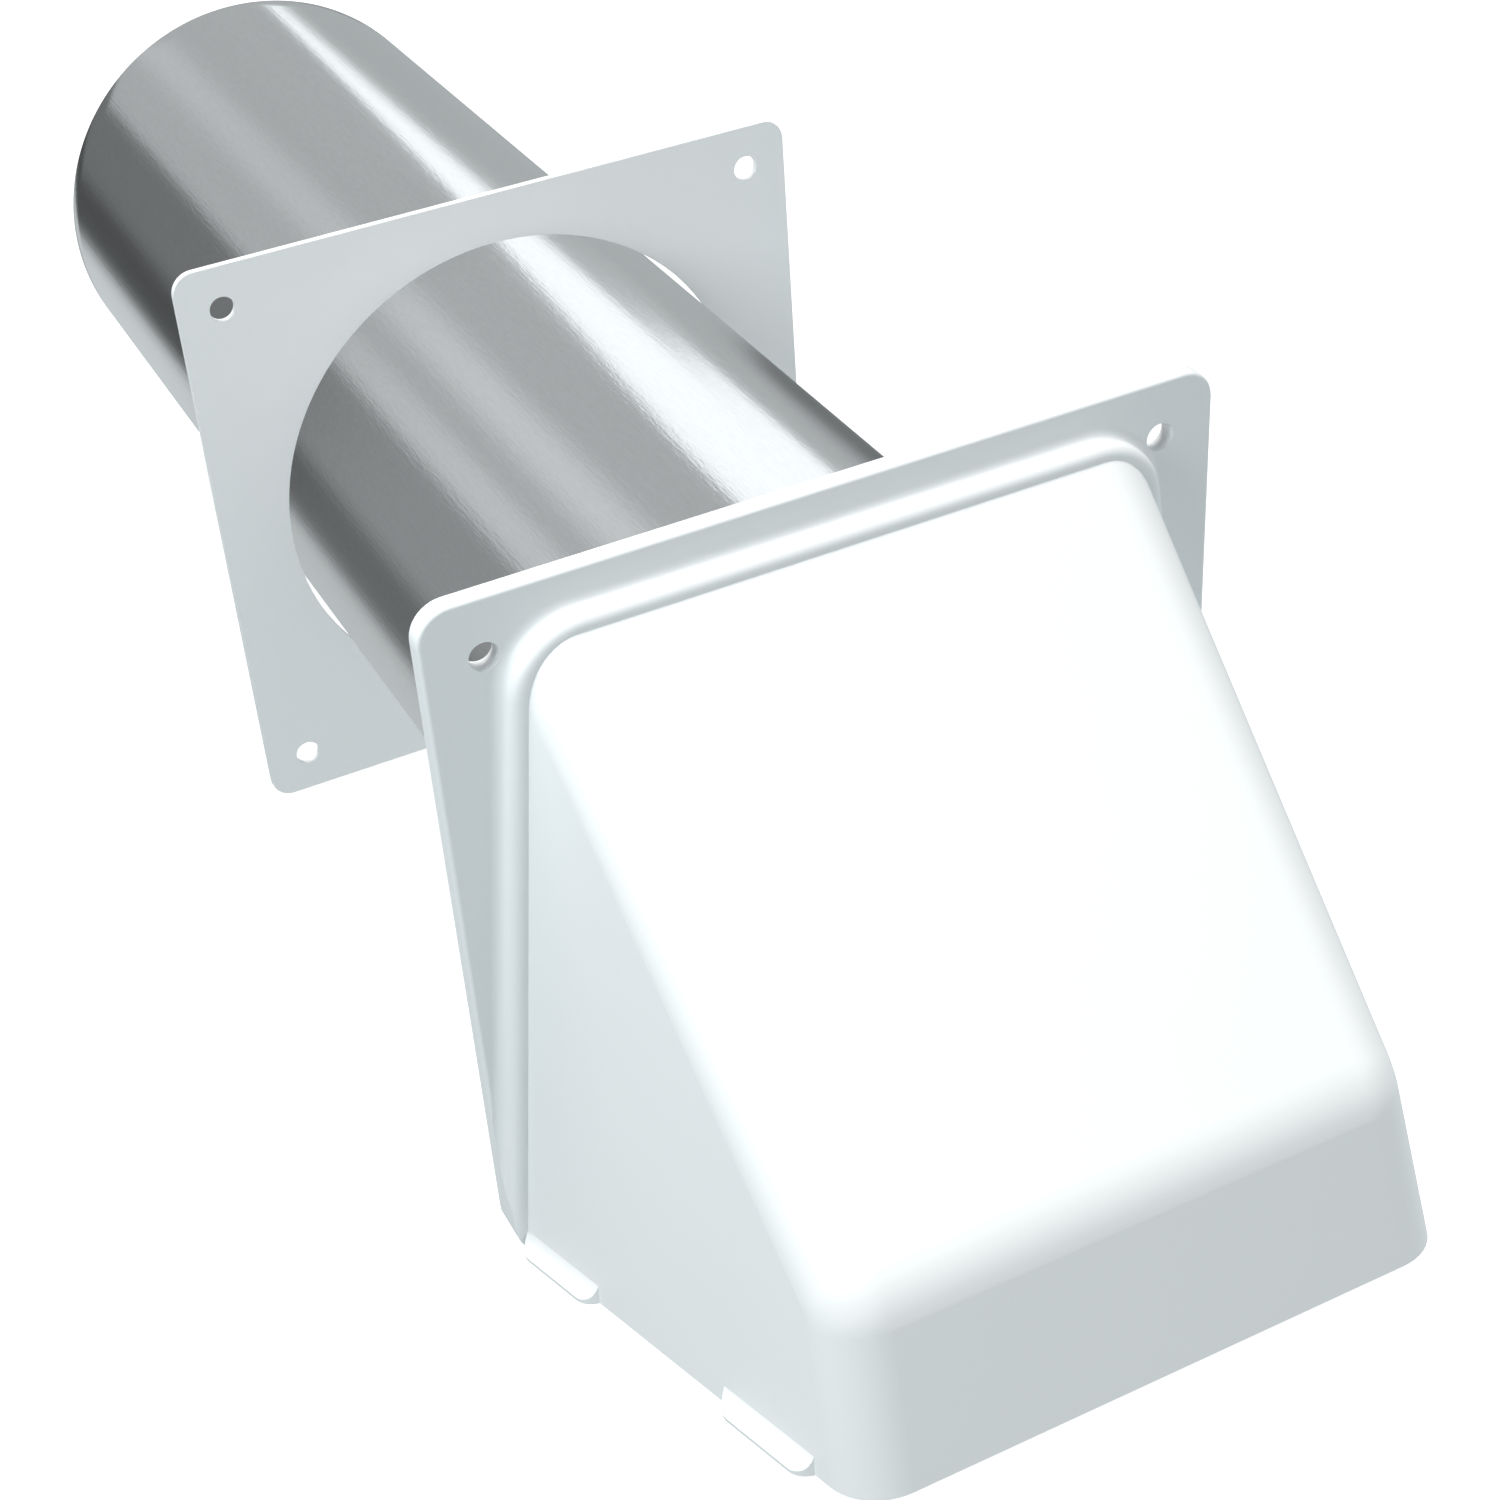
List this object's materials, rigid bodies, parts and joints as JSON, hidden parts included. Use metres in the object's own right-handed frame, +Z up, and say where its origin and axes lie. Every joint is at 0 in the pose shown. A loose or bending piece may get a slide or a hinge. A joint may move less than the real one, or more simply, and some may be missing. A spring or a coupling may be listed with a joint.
{
  "type": "vent hood",
  "caption": "Wall vent hood with a downward mouth, hinged damper, snap-in grille, round tail pipe and a sliding wall plate.",
  "frame": {"origin": "on the duct's axis, in the plane of the flange's back face, which lies on the outside wall", "axes": "+X to the right as seen from outdoors, +Y into the wall along the pipe, +Z up"},
  "size_m": [0.1444, 0.4122, 0.132],
  "materials": {
    "hood_plastic": "satin moulded white",
    "flap_plastic": "satin moulded white",
    "guard_plastic": "satin moulded white",
    "pipe_aluminium": "bright rolled sheet with a faint lengthwise grain",
    "plate_plastic": "satin moulded white"
  },
  "bodies": {
    "hood_and_pipe": {"hood": "hood_plastic", "bird_guard": "guard_plastic", "duct_pipe": "pipe_aluminium"},
    "damper": {"damper_flap": "flap_plastic"},
    "plate": {"wall_plate": "plate_plastic"}
  },
  "joints": [
    {"name": "damper_swing", "type": "hinge", "parent": "hood_and_pipe", "child": "damper", "pos_m": [0, -0.0056, 0.0523], "axis": [-1, 0, 0], "range_deg": [0, 42]},
    {"name": "plate_slide", "type": "slide", "parent": "hood_and_pipe", "child": "plate", "axis": [0, 1, 0], "range_m": [-0.1409, 0.1675]}
  ]
}
